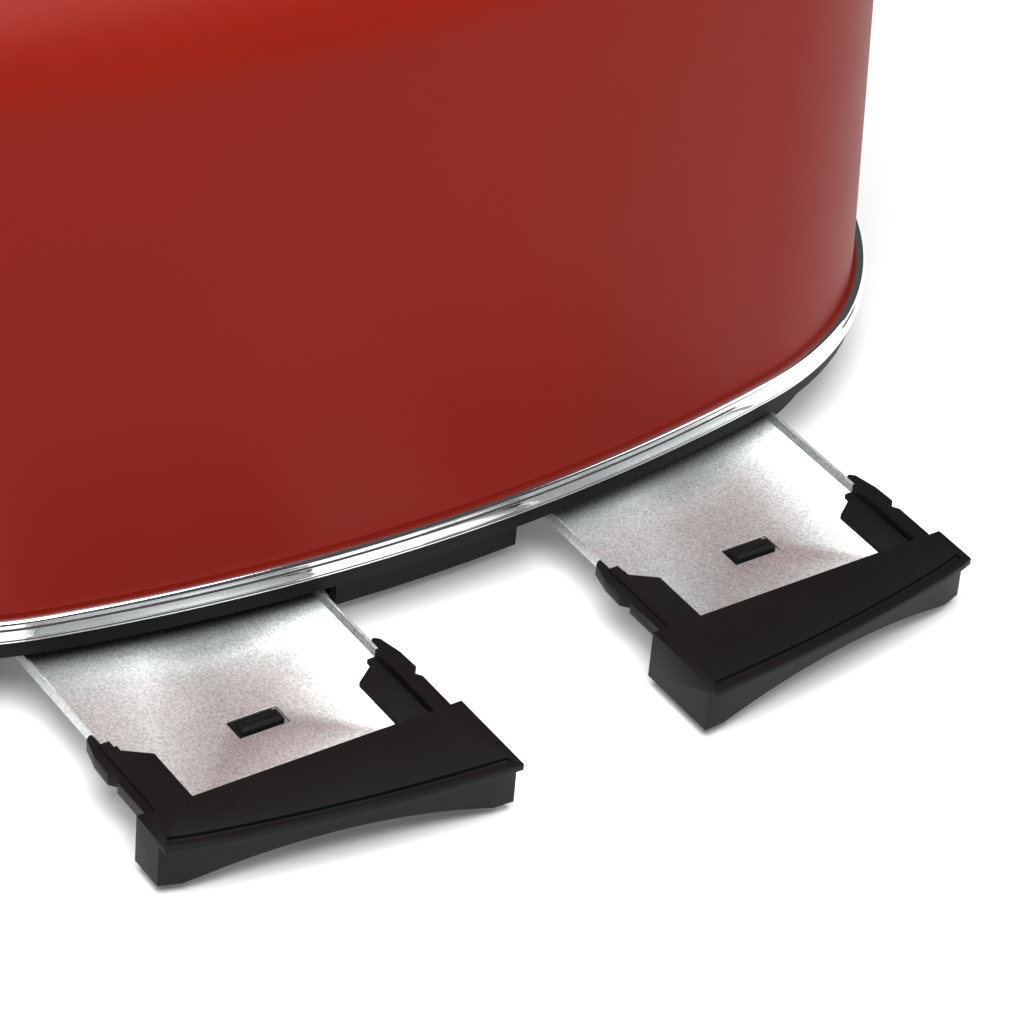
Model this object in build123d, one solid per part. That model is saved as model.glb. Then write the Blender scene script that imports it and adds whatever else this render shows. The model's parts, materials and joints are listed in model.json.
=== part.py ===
from build123d import *

import os
from math import asin, cos, degrees, radians, sin, sqrt, tan

# Four slice pop up toaster: an oval painted shell on a chrome ring and a black base, with two crumb trays.
# Millimetres, +Z up, floor at Z = 0. The front, with the levers and controls, faces -Y; the crumb trays
# come out along +Y. Left and right are as the user at the front sees them: left is -X.
# Everything is drawn about the middle of the oval plan, with the right-hand piece of each pair drawn and
# the left-hand one mirrored; the last step moves all of it so that the origin is under the middle of the
# whole object, at floor level.

# --- driving dimensions: plan outline of the chrome ring, made of eight tangent arcs ---
LENGTH = 369.8
DEPTH = 279.4
CORNER_RADIUS = 96.0
SIDE_TURN = 12.25  # degrees turned by half of a long side before the corner begins
CORNER_END = 76.0  # heading, in degrees, where the corner gives way to the end arc

# --- heights ---
HEIGHT = 190.0
FOOT_HEIGHT = 5.0
DECK_BOTTOM = 17.4
DECK_THICKNESS = 2.0
RIM_TOP = 22.5
RING_HEIGHT = 6.0

# --- shell ---
RING_WIDTH = 3.8  # how far the ring's edge stands out from the shell
RING_BEAD = 1.4  # height of the rounded ledge on top of the ring
RING_BEAD_SETBACK = 0.5
RING_GROOVE = 0.5
RING_GROOVE_SETBACK = 0.9
RING_LIP = 0.9  # height of the thin lip at the ring's foot
RING_LIP_NOTCH = 0.3
RING_ROUND = 0.15
LEAN = 3.0  # degrees that the shell leans inwards
SHOULDER_RADIUS = 36.0
SHELL_WALL = 0.8

# --- base moulding ---
RIM_INSET = 1.6
RIM_WALL = 3.0
SKIRT_INSET = 9.0
SKIRT_WALL = 2.5
BASE_PLATE = 1.0
BASE_PLATE_GAP = 0.3
BOSS_RADIUS = 4.0
SCREW_RADIUS = 1.6
SCREW_HEAD_RADIUS = 3.2
SCREW_HEAD_HEIGHT = 1.8
SCREW_LENGTH = 9.0
FOOT_RADIUS = 10.0
FOOT_STEM_RADIUS = 3.5
FOOT_HEAD_RADIUS = 5.5
FOOT_HEAD_HEIGHT = 2.0
FOOT_CHAMFER = 1.0
FOOT_FROM_END = 53.9
FOOT_FROM_SIDE = 65.7
SIDE_SCREW_FROM_SKIRT = 18.7
END_SCREW_FROM_SKIRT = 29.9
END_SCREW_Y = 44.0
SCREW_CROSS = (3.6, 0.9, 0.8)  # length, width and depth of the driver's cross
CRUMB_WINDOW_BORDER = 4.0

# --- crumb trays ---
PAIR_X = 70.8  # middle of each tray and of each pair of slots
HANDLE_WIDTH = 87.0
BAY_GAP = 1.0
SLAB_DEPTH = 22.0  # front to back of the handle's top slab, at its middle
SLAB_TOP = 16.0
SLAB_THICKNESS = 1.8
HANDLE_BOTTOM = 2.8
LIP = 2.6  # overhang of the slab in front of the handle's front wall
HANDLE_WALL = 2.0
ARCH_FROM_END = 5.5  # width of the handle's corner feet, beside the finger arch
ARCH_LEDGE = 5.4  # front wall left above the middle of the finger arch
GROOVE_FROM_EDGE = 2.0
GROOVE_WIDTH = 2.0
GROOVE_DEPTH = 1.1
GROOVE_END = 2.0
TRAY_OUT = 83.0  # how far the trays are drawn out in the rest pose
SHEET_INSIDE_HANDLE = 6.0
SHEET_FLOOR = 12.4
SHEET_THICKNESS = 0.7
SHEET_WALL_TOP = 15.1
SHEET_INSIDE_CHAMBER = 2.0
SHEET_UNDER_SLAB = 8.0
HOLE_LENGTH = 13.6
HOLE_FRONT = 16.0
HOLE_BACK = 22.6
NUB_LENGTH = 11.4
NUB_WIDTH = 4.0
NUB_FORWARD = 0.5  # from the middle of the hole, towards the handle
NUB_TOP = 13.7
NUB_CHAMFER = 0.6
NUB_RIDGE_END = 1.6
NUB_RIDGE_WIDTH = 1.0
NUB_RIDGE_HEIGHT = 0.5
TONGUE_THICKNESS = 1.6
TONGUE_BEYOND_HOLE = 2.0
ARM_REACH = 9.9  # how far the handle's arms reach over the sheet from its edges
ARM_LENGTH = 24.2
ARM_THICKNESS = 1.4
ARM_CORNER_WIDTH = 6.6  # cut off an arm's inner corner
ARM_CORNER_LENGTH = 4.9
ARM_STEP = 1.6
ARM_STEP_WIDTH = 3.0
BRIDGE_INSIDE = 1.6  # cover over the sheet's turned up side
BRIDGE_OUTSIDE = 1.2
FINGER_LOW = 12.0
FINGER_TOP = 15.3
FINGER_LENGTH = 30.4
FINGER_ROOT = 3.5  # how far each stretch of a latch finger stands out from the sheet
FINGER_NOTCH = 2.3
FINGER_BUMP = 4.0
FINGER_CREST = 3.7
FINGER_HEEL = 2.2
FINGER_TIP = 1.1
FINGER_ROOT_END = 12.8  # how far behind the slab each stretch of it ends
FINGER_NOTCH_AT = 14.4
FINGER_BUMP_AT = 16.4
FINGER_CREST_END = 23.0
FINGER_HEEL_AT = 29.4
SIDE_GAP = 0.3
GUIDE_WALL = 1.5
GUIDE_REACH = 5.0
GUIDE_ROOM = 1.1  # between a sheet's side and its guide's web
GUIDE_ABOVE_SHEET = 1.0
GUIDE_BEHIND_FINGER = 2.6

# --- toasting chambers ---
SLOT_PITCH = 42.0
SLOT_WIDTH = 32.0
SLOT_LENGTH = 138.0
SLOT_CORNER = 4.0
SURROUND_BORDER = 5.0
SURROUND_THICKNESS = 1.6
SURROUND_EDGE = 1.0
COLLAR_DEPTH = 11.0
COLLAR_WALL = 1.0
CHAMBER_BEYOND_SLOT = 9.0
CHAMBER_BESIDE_BOARD = 7.0
CHAMBER_BELOW_TOP = 18.0
PLATE = 0.8
LOUVRE_ROWS = 3
LOUVRE_LENGTH = 90.0
LOUVRE_HEIGHT = 5.0
BOARD_THICKNESS = 0.8
WINDING_BEYOND_SLOT = 1.0
BOARD_OVER_DECK = 14.6
BOARD_BELOW_CHAMBER_TOP = 14.0
RIBBON_HEIGHT = 1.6
RIBBON_THICKNESS = 0.2
RIBBON_TURNS = 9
GUARD_WIRE = 1.2
GUARD_CROSS_WIRE = 1.0
GUARD_INSIDE_SLOT = 3.0
GUARD_WIRES = 7
GUARD_OVER_DECK = 8.6
GUARD_BELOW_CHAMBER_TOP = 2.0

# --- carriages ---
CARRIAGE_TRAVEL = 48.0
RACK_OVER_DECK = 22.6  # room under a lowered rack
RACK_BAR_WIDTH = 2.4
RACK_BAR_HEIGHT = 6.0
RACK_RIBS = 6
RACK_RIB_WIDTH = 2.4
RACK_RIB_TO_GUARD = 4.0
SLIT_GAP = 0.6
CARRIAGE_GAP = 2.5
CARRIAGE_PLATE = 1.6
CARRIAGE_HALF_WIDTH = 28.0
CARRIAGE_BELOW_RACK = 12.0
CARRIAGE_ABOVE_RACK = 8.0
ROD_OFFSET = 18.0
ROD_RADIUS = 2.5
ROD_CLEARANCE = 0.05
SLEEVE_RADIUS = 5.0
RISER_DEPTH = 6.0
ARM_WIDTH = 5.0
ARM_HEIGHT = 8.0
LEVER_ABOVE_MIDDLE = 8.75  # middle of the lever's slot above the middle of the wall
KNOB_WIDTH = 36.0
KNOB_HEIGHT = 13.0
KNOB_DEPTH = 17.0
KNOB_GAP = 3.0
KNOB_GRIP = 9.0
KNOB_CORNER = 5.5
KNOB_EDGE = 3.0
LEVER_SLOT_GAP = 2.0
BEZEL_MARGIN = 4.0
BEZEL_THICKNESS = 1.6
BEZEL_SUNK = 2.0
BEZEL_EDGE = 0.5
SPRING_RADIUS = 3.4
SPRING_WIRE = 1.0
MAGNET_HALF = 8.0
MAGNET_CORE = 6.0
MAGNET_BASE = 1.6
COIL_BELOW_CORE = 2.0
COIL_INSIDE_BASE = 1.0

# --- control panel, in its own leaning plane ---
PANEL_WIDTH = 98.0
PANEL_HEIGHT = 86.0
PANEL_CORNER = 12.0
PANEL_THICKNESS = 2.0
PANEL_SUNK = 6.0  # how far the panel's blank goes in before the shell is taken out of it
PANEL_EDGE = 1.2
WINDOW_MARGIN = 3.4
DIAL_Y = -17.0
DIAL_RADIUS = 16.0
DIAL_HEIGHT = 13.0
DIAL_GAP = 0.5
DIAL_SKIRT = 3.0
DIAL_SKIRT_EDGE = 0.8
DIAL_GRIP_EDGE = 2.0
DIAL_STEP = 4.0  # from the skirt's edge in to the grip
POINTER = (1.6, 6.0, 1.2)
SHAFT_RADIUS = 3.0
BUTTON_Y = 24.0
BUTTON_PITCH = 14.0
BUTTON_RADIUS = 5.0
BUTTON_PROUD = 2.4
BUTTON_TRAVEL = 1.5
BUTTON_GAP = 0.3
BUTTON_EDGE = 1.0
BUTTON_LOW = -4.5  # underside of a button's cap, behind the panel's plane
BUTTON_COLLAR = 1.0
BUTTON_COLLAR_HEIGHT = 1.2
BUTTON_STEM_RADIUS = 2.0
SWITCH = (6.0, 6.0, 1.8)
SWITCH_GAP = 0.7  # left under a button's stem when it is pressed
BOARD_FACE = -20.0  # front face of a circuit board, behind the panel's plane
BOARD_WIDTH = 44.0
BOARD_INSIDE_PANEL = 4.0
CIRCUIT_BOARD = 1.6
POT_TOP = -13.0
POT_SIZE = 13.0
POT_BUSH_TOP = -8.0
POT_BUSH_RADIUS = 4.6
RELAY = (15.0, 19.0, 12.0)
RELAY_PLACE = (-8.0, 8.0)
CAPACITOR_RADIUS = 5.0
CAPACITOR_HEIGHT = 10.0
CAPACITOR_PLACE = (12.0, 6.0)

# --- mains ---
TERMINAL_SIZE = (16.0, 40.0, 12.0)
TERMINAL_FROM_SKIRT = 17.9
TERMINAL_PITCH = 12.0
TERMINAL_HOLE_RADIUS = 2.2
TERMINAL_FLOOR = 5.0
TERMINAL_CORNER = 1.0
GLAND_RADIUS = 5.6
GLAND_STEP = 1.0
GLAND_BORE = 3.6
GLAND_FLANGE = 2.0
GLAND_BARREL = 5.5
GLAND_Z = 11.2

# --- sizes that follow from these ---
RING_TOP = RIM_TOP + RING_HEIGHT
DECK_TOP = DECK_BOTTOM + DECK_THICKNESS
SHEET_HALF_WIDTH = HANDLE_WIDTH / 2 - SHEET_INSIDE_HANDLE
ARCH_HALF_WIDTH = HANDLE_WIDTH / 2 - ARCH_FROM_END
CHAMBER_HALF_LENGTH = SLOT_LENGTH / 2 + CHAMBER_BEYOND_SLOT
CHAMBER_HALF_WIDTH = SLOT_PITCH + CHAMBER_BESIDE_BOARD
CHAMBER_TOP = HEIGHT - CHAMBER_BELOW_TOP
BOARD_HALF_LENGTH = SLOT_LENGTH / 2 + WINDING_BEYOND_SLOT
BOARD_LOW = DECK_TOP + BOARD_OVER_DECK
BOARD_HIGH = CHAMBER_TOP - BOARD_BELOW_CHAMBER_TOP
GUARD_GAP = SLOT_WIDTH - 2 * GUARD_INSIDE_SLOT  # clear width for bread between a slot's two guards
GUARD_LOW = DECK_TOP + GUARD_OVER_DECK
GUARD_HIGH = CHAMBER_TOP - GUARD_BELOW_CHAMBER_TOP
RACK_TOP = DECK_TOP + RACK_OVER_DECK + RACK_BAR_HEIGHT + CARRIAGE_TRAVEL
RACK_RIB_HALF_WIDTH = GUARD_GAP / 2 - RACK_RIB_TO_GUARD
CARRIAGE_LOW = RACK_TOP - CARRIAGE_BELOW_RACK
CARRIAGE_HIGH = RACK_TOP + CARRIAGE_ABOVE_RACK
WALL_MIDDLE = (RING_TOP + HEIGHT - SHOULDER_RADIUS) / 2
ARM_TOP = WALL_MIDDLE + LEVER_ABOVE_MIDDLE + (CARRIAGE_TRAVEL + ARM_HEIGHT) / 2
DIAL_X = PANEL_WIDTH / 4
SKIRT_END = LENGTH / 2 - SKIRT_INSET
FAR = 400.0


# --- plan outline ---
def heading(degrees_turned):
    angle = radians(degrees_turned)
    return sin(angle), cos(angle)


def arc_centres():
    """Radii and centres of the side, corner and end arcs of the ring's edge, in the first quadrant."""
    s1, c1 = heading(SIDE_TURN)
    s2, c2 = heading(CORNER_END)
    depth_rest = DEPTH / 2 - CORNER_RADIUS * (c1 - c2)
    length_rest = LENGTH / 2 - CORNER_RADIUS * (s2 - s1)
    determinant = (1 - c1) * (1 - s2) - c2 * s1
    side = (depth_rest * (1 - s2) - c2 * length_rest) / determinant
    end = ((1 - c1) * length_rest - s1 * depth_rest) / determinant
    side_centre = (0.0, DEPTH / 2 - side)
    corner_centre = ((side - CORNER_RADIUS) * s1, side_centre[1] + (side - CORNER_RADIUS) * c1)
    end_centre = (LENGTH / 2 - end, 0.0)
    return (side, side_centre), (CORNER_RADIUS, corner_centre), (end, end_centre)


def oval(inset, z=0.0):
    """The plan outline moved inwards by inset, as a face at height z."""
    (side, side_c), (corner, corner_c), (end, end_c) = arc_centres()

    def on(centre, radius, turn):
        s, c = heading(turn)
        return centre[0] + (radius - inset) * s, centre[1] + (radius - inset) * c

    top = on(side_c, side, 0)
    a = on(side_c, side, SIDE_TURN)
    corner_mid = on(corner_c, corner, (SIDE_TURN + CORNER_END) / 2)
    b = on(end_c, end, CORNER_END)
    right = on(end_c, end, 90)

    def place(point, sx, sy):
        return point[0] * sx, point[1] * sy

    arcs = [
        ThreePointArc(place(b, 1, -1), right, place(b, 1, 1)),
        ThreePointArc(place(b, 1, 1), corner_mid, place(a, 1, 1)),
        ThreePointArc(place(a, 1, 1), top, place(a, -1, 1)),
        ThreePointArc(place(a, -1, 1), place(corner_mid, -1, 1), place(b, -1, 1)),
        ThreePointArc(place(b, -1, 1), place(right, -1, 1), place(b, -1, -1)),
        ThreePointArc(place(b, -1, -1), place(corner_mid, -1, -1), place(a, -1, -1)),
        ThreePointArc(place(a, -1, -1), place(top, 1, -1), place(a, 1, -1)),
        ThreePointArc(place(a, 1, -1), place(corner_mid, 1, -1), place(b, 1, -1)),
    ]
    return Pos(0, 0, z) * Face(Wire([arc.edge() for arc in arcs]))


def raise_face(face, height):
    """A flat face pushed straight up."""
    return extrude(face, amount=height, dir=(0, 0, 1))


def oval_block(inset, low, high):
    return raise_face(oval(inset, low), high - low)


def wall_inset(z):
    """How far the shell's outer face is inside the ring's edge at height z."""
    return RING_WIDTH + (z - RING_TOP) * tan(radians(LEAN))


def side_reach(x, inset):
    """Distance in Y from the middle to a long side's face, at x."""
    (side, centre), _, _ = arc_centres()
    return centre[1] + sqrt((side - inset) ** 2 - x**2)


def slab_back():
    """Back edge of the handle's top slab when the tray is closed."""
    return side_reach(PAIR_X, SKIRT_INSET) - SLAB_DEPTH


def block(x, y, z):
    """A box between two corners, given as (low, high) along each axis."""
    sizes = [high - low for low, high in (x, y, z)]
    middle = [(high + low) / 2 for low, high in (x, y, z)]
    return Pos(*middle) * Box(*sizes)


def rod(radius, x, y, z_low, z_high):
    return Pos(x, y, (z_low + z_high) / 2) * Cylinder(radius, z_high - z_low)


# --- shell, ring and base ---
def body_solid(extra_inset, top, shoulder):
    foot = oval(wall_inset(RIM_TOP) + extra_inset, RIM_TOP)
    solid = extrude(foot, amount=top - RIM_TOP, dir=(0, 0, 1), taper=LEAN)
    return fillet(solid.faces().sort_by(Axis.Z)[-1].edges(), shoulder)


def surround_opening():
    half_width = (SLOT_PITCH + SLOT_WIDTH) / 2 + COLLAR_WALL
    half_length = SLOT_LENGTH / 2 + COLLAR_WALL
    return half_width, half_length


def outer_shell(body):
    shell = body - body_solid(SHELL_WALL, HEIGHT - SHELL_WALL, SHOULDER_RADIUS - SHELL_WALL)
    half_width, half_length = surround_opening()
    low, high = lever_slot_heights()
    for side in (-1, 1):
        x = side * PAIR_X
        shell -= block(
            (x - half_width, x + half_width),
            (-half_length, half_length),
            (HEIGHT - SHOULDER_RADIUS, HEIGHT + SHOULDER_RADIUS),
        )
        half = ARM_WIDTH / 2 + LEVER_SLOT_GAP
        shell -= block((x - half, x + half), (-FAR, 0), (low, high))
    window = Box(PANEL_WIDTH - 2 * WINDOW_MARGIN, PANEL_HEIGHT - 2 * WINDOW_MARGIN, 4 * PANEL_THICKNESS)
    return shell - panel_plane() * window


def ring_profile():
    """Section of the ring, outwards along +X from the shell and up along +Y from the ring's foot."""
    inner = -RING_WIDTH - RING_LIP_NOTCH * 2
    notch = -RING_LIP_NOTCH
    groove_low = RING_HEIGHT - RING_BEAD - RING_GROOVE
    groove_high = RING_HEIGHT - RING_BEAD
    crown = (-RING_BEAD_SETBACK - RING_BEAD, RING_HEIGHT)
    band_top = (-RING_BEAD_SETBACK, groove_low)
    bead_foot = (-RING_GROOVE_SETBACK, groove_high)
    bead_side = (-RING_BEAD_SETBACK - RING_ROUND, groove_high + RING_BEAD / 2)
    lip = ThreePointArc((-RING_LIP, 0), (-RING_ROUND, RING_LIP / 2), (notch, RING_LIP))
    band = ThreePointArc((notch, RING_LIP), (0, (RING_LIP + groove_low) / 2), band_top)
    step = Polyline(band_top, (-RING_GROOVE_SETBACK, groove_low), bead_foot)
    bead = ThreePointArc(bead_foot, bead_side, crown)
    back = Polyline(crown, (inner, RING_HEIGHT), (inner, 0), (-RING_LIP, 0))
    return make_face(Curve([lip, band, step, bead, back]).edges())


def chrome_base_ring(body):
    path = oval(0, RIM_TOP).outer_wire()
    start = Plane(origin=(0, DEPTH / 2, RIM_TOP), x_dir=(0, 1, 0), z_dir=(1, 0, 0))
    swept = sweep(start * ring_profile(), path=path)
    return swept - body


def tray_bay(side, back):
    """The room in the base that one tray's handle goes into, as far back as back."""
    half = HANDLE_WIDTH / 2 + BAY_GAP
    x = side * PAIR_X
    return block((x - half, x + half), (back, FAR), (0, DECK_BOTTOM))


def screw_places():
    x, y = SKIRT_END - END_SCREW_FROM_SKIRT, side_reach(0, SKIRT_INSET) - SIDE_SCREW_FROM_SKIRT
    return [(0, y), (0, -y), (x, END_SCREW_Y), (x, -END_SCREW_Y), (-x, END_SCREW_Y), (-x, -END_SCREW_Y)]


def base_moulding():
    deck = oval_block(RIM_INSET, DECK_BOTTOM, DECK_TOP)
    rim = oval_block(RIM_INSET, DECK_TOP, RIM_TOP) - oval_block(RIM_INSET + RIM_WALL, DECK_TOP, RIM_TOP)
    skirt = oval_block(SKIRT_INSET, FOOT_HEIGHT, DECK_BOTTOM)
    skirt -= oval_block(SKIRT_INSET + SKIRT_WALL, FOOT_HEIGHT, DECK_BOTTOM)
    moulding = deck + rim + skirt
    for x, y in screw_places():
        moulding += rod(BOSS_RADIUS, x, y, FOOT_HEIGHT + BASE_PLATE, DECK_BOTTOM)
        moulding -= rod(SCREW_RADIUS, x, y, FOOT_HEIGHT, FOOT_HEIGHT + SCREW_LENGTH)
    crumb_half = SHEET_HALF_WIDTH - CRUMB_WINDOW_BORDER
    crumb_length = CHAMBER_HALF_LENGTH - CRUMB_WINDOW_BORDER
    for side in (-1, 1):
        x = side * PAIR_X
        window_x = (x - crumb_half, x + crumb_half)
        window = block(window_x, (-crumb_length, crumb_length), (DECK_BOTTOM, DECK_TOP))
        moulding -= window + tray_bay(side, slab_back() - ARM_LENGTH)
    return moulding - along_x(GLAND_RADIUS - GLAND_STEP, SKIRT_END - GLAND_BARREL, SKIRT_END + GLAND_FLANGE)


def base_plate():
    plate = oval_block(SKIRT_INSET + SKIRT_WALL + BASE_PLATE_GAP, FOOT_HEIGHT, FOOT_HEIGHT + BASE_PLATE)
    for x, y in screw_places():
        plate -= rod(SCREW_RADIUS, x, y, 0, FAR)
    for x, y in foot_places():
        plate -= rod(FOOT_STEM_RADIUS, x, y, 0, FAR)
    for side in (-1, 1):
        plate -= tray_bay(side, slab_back() - BAY_GAP)
    return plate


def foot_places():
    x, y = LENGTH / 2 - FOOT_FROM_END, DEPTH / 2 - FOOT_FROM_SIDE
    return [(x, y), (-x, y), (x, -y), (-x, -y)]


def rubber_feet():
    feet = []
    for x, y in foot_places():
        pad = rod(FOOT_RADIUS, x, y, 0, FOOT_HEIGHT)
        pad = chamfer(pad.edges().sort_by(Axis.Z)[0], FOOT_CHAMFER)
        stem = rod(FOOT_STEM_RADIUS, x, y, FOOT_HEIGHT, FOOT_HEIGHT + BASE_PLATE)
        top = FOOT_HEIGHT + BASE_PLATE
        head = rod(FOOT_HEAD_RADIUS, x, y, top, top + FOOT_HEAD_HEIGHT)
        feet.append(pad + stem + head)
    return feet


def base_screws():
    screws = []
    length, width, depth = SCREW_CROSS
    for x, y in screw_places():
        shank = rod(SCREW_RADIUS, x, y, FOOT_HEIGHT, FOOT_HEIGHT + SCREW_LENGTH)
        head = rod(SCREW_HEAD_RADIUS, x, y, FOOT_HEIGHT - SCREW_HEAD_HEIGHT, FOOT_HEIGHT)
        blades = Box(length, width, 2 * depth) + Box(width, length, 2 * depth)
        cross = Pos(x, y, FOOT_HEIGHT - SCREW_HEAD_HEIGHT) * blades
        screws.append(shank + head - cross)
    return screws


# --- crumb trays, drawn closed ---
def tray_sheet():
    """Galvanised pan with turned up sides and inner end."""
    x = (PAIR_X - SHEET_HALF_WIDTH, PAIR_X + SHEET_HALF_WIDTH)
    y = (SHEET_INSIDE_CHAMBER - CHAMBER_HALF_LENGTH, slab_back() + SHEET_UNDER_SLAB)
    low = SHEET_FLOOR - SHEET_THICKNESS
    pan = block(x, y, (low, SHEET_WALL_TOP))
    hollow = block(
        (x[0] + SHEET_THICKNESS, x[1] - SHEET_THICKNESS),
        (y[0] + SHEET_THICKNESS, y[1]),
        (SHEET_FLOOR, SHEET_WALL_TOP),
    )
    half = HOLE_LENGTH / 2
    hole_y = (slab_back() - HOLE_BACK, slab_back() - HOLE_FRONT)
    hole = block((PAIR_X - half, PAIR_X + half), hole_y, (low, SHEET_FLOOR))
    slab_room = block(x, (slab_back(), y[1]), (SLAB_TOP - SLAB_THICKNESS, SLAB_TOP))
    return pan - hollow - hole - slab_room


def handle_outline(extra):
    """The skirt's outline, extra inwards, as a block that the handle's front follows."""
    return oval_block(SKIRT_INSET + extra, 0, SLAB_TOP)


def beside_sheet(side, out, back):
    """A point this far outwards from the sheet's edge and this far behind the slab."""
    return PAIR_X + side * (SHEET_HALF_WIDTH + out), slab_back() - back


def finger_profile(side):
    """Plan of a latch finger: its root, a notch, then a long bump that falls away to the tip."""
    points = [
        (SIDE_GAP, -HANDLE_WALL), (FINGER_ROOT, -HANDLE_WALL), (FINGER_ROOT, FINGER_ROOT_END),
        (FINGER_NOTCH, FINGER_NOTCH_AT), (FINGER_BUMP, FINGER_BUMP_AT), (FINGER_CREST, FINGER_CREST_END),
        (FINGER_HEEL, FINGER_HEEL_AT), (FINGER_TIP, FINGER_LENGTH), (SIDE_GAP, FINGER_LENGTH),
    ]
    return make_face(Polyline(*[beside_sheet(side, out, back) for out, back in points], close=True))


def arm_profile(side):
    """Plan of the arm that lies on the sheet along its edge, with its inner corner cut off."""
    outer = -SHEET_THICKNESS
    stepped = ARM_LENGTH + ARM_STEP
    points = [
        (-ARM_REACH, -HANDLE_WALL), (outer, -HANDLE_WALL), (outer, stepped),
        (outer - ARM_STEP_WIDTH, stepped), (outer - ARM_STEP_WIDTH, ARM_LENGTH),
        (ARM_CORNER_WIDTH - ARM_REACH, ARM_LENGTH), (-ARM_REACH, ARM_LENGTH - ARM_CORNER_LENGTH),
    ]
    return make_face(Polyline(*[beside_sheet(side, out, back) for out, back in points], close=True))


def tray_handle():
    half = HANDLE_WIDTH / 2
    x = (PAIR_X - half, PAIR_X + half)
    slab_low = SLAB_TOP - SLAB_THICKNESS
    slab = block(x, (slab_back(), FAR), (slab_low, SLAB_TOP)) & handle_outline(0)
    groove = handle_outline(GROOVE_FROM_EDGE) - handle_outline(GROOVE_FROM_EDGE + GROOVE_WIDTH)
    groove_x = (x[0] + GROOVE_END, x[1] - GROOVE_END)
    groove &= block(groove_x, (slab_back(), FAR), (SLAB_TOP - GROOVE_DEPTH, SLAB_TOP))
    skin = handle_outline(LIP) & block(x, (slab_back(), FAR), (HANDLE_BOTTOM, slab_low))
    core = handle_outline(LIP + HANDLE_WALL)
    core &= block((x[0] + HANDLE_WALL, x[1] - HANDLE_WALL), (0, FAR), (HANDLE_BOTTOM, slab_low))
    rise = slab_low - ARCH_LEDGE - HANDLE_BOTTOM
    arch_radius = (ARCH_HALF_WIDTH**2 + rise**2) / (2 * rise)
    arch_z = HANDLE_BOTTOM + rise - arch_radius
    arch = Pos(PAIR_X, 0, arch_z) * Rot(90, 0, 0) * Cylinder(arch_radius, 2 * FAR)
    shell = skin - core - (arch & block(x, (0, FAR), (0, slab_low)))
    handle = slab - groove + shell
    for side in (-1, 1):
        finger = raise_face(Pos(0, 0, FINGER_LOW) * finger_profile(side), FINGER_TOP - FINGER_LOW)
        arm = raise_face(Pos(0, 0, SHEET_FLOOR) * arm_profile(side), ARM_THICKNESS)
        bridge_x = sorted(beside_sheet(side, out, 0)[0] for out in (-BRIDGE_INSIDE, BRIDGE_OUTSIDE))
        bridge_y = (slab_back() - ARM_LENGTH - ARM_STEP, slab_back())
        bridge = block(bridge_x, bridge_y, (SHEET_WALL_TOP, SLAB_TOP))
        web_x = sorted(beside_sheet(side, out, 0)[0] for out in (-BRIDGE_INSIDE, -SHEET_THICKNESS))
        web = block(web_x, bridge_y, (SHEET_FLOOR, SLAB_TOP))
        handle += finger + arm + bridge + web
    return handle + tray_clip()


def tray_clip():
    """Tongue under the sheet with the nub that comes up through the sheet's hole."""
    under = SHEET_FLOOR - SHEET_THICKNESS
    middle = slab_back() - (HOLE_FRONT + HOLE_BACK) / 2
    x = (PAIR_X - NUB_LENGTH / 2, PAIR_X + NUB_LENGTH / 2)
    reach = side_reach(PAIR_X, SKIRT_INSET + LIP + HANDLE_WALL / 2)
    back = slab_back() - HOLE_BACK - TONGUE_BEYOND_HOLE
    tongue = block(x, (back, reach), (under - TONGUE_THICKNESS, under))
    nub_y = middle + NUB_FORWARD
    nub = block(x, (nub_y - NUB_WIDTH / 2, nub_y + NUB_WIDTH / 2), (under, NUB_TOP))
    nub = chamfer(nub.faces().sort_by(Axis.Z)[-1].edges(), NUB_CHAMFER)
    ridge_x = (x[0] + NUB_RIDGE_END, x[1] - NUB_RIDGE_END)
    ridge_y = (nub_y - NUB_RIDGE_WIDTH / 2, nub_y + NUB_RIDGE_WIDTH / 2)
    return tongue + nub + block(ridge_x, ridge_y, (NUB_TOP, NUB_TOP + NUB_RIDGE_HEIGHT))


def tray_guides():
    """Two rails on the base plate that carry the sheet's edges, one each side."""
    rails = []
    for side in (-1, 1):
        inner = SHEET_HALF_WIDTH + GUIDE_ROOM
        web = sorted((PAIR_X + side * inner, PAIR_X + side * (inner + GUIDE_WALL)))
        ledge = sorted((PAIR_X + side * (inner - GUIDE_REACH), PAIR_X + side * inner))
        y = (-CHAMBER_HALF_LENGTH, slab_back() - FINGER_LENGTH - GUIDE_BEHIND_FINGER)
        top = SHEET_FLOOR - SHEET_THICKNESS - SIDE_GAP
        rail = block(web, y, (FOOT_HEIGHT + BASE_PLATE, SHEET_WALL_TOP + GUIDE_ABOVE_SHEET))
        rail += block(ledge, y, (top - GUIDE_WALL, top))
        rails.append(rail)
    return rails


# --- toasting chambers ---
def slot_xs():
    return PAIR_X - SLOT_PITCH / 2, PAIR_X + SLOT_PITCH / 2


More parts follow.
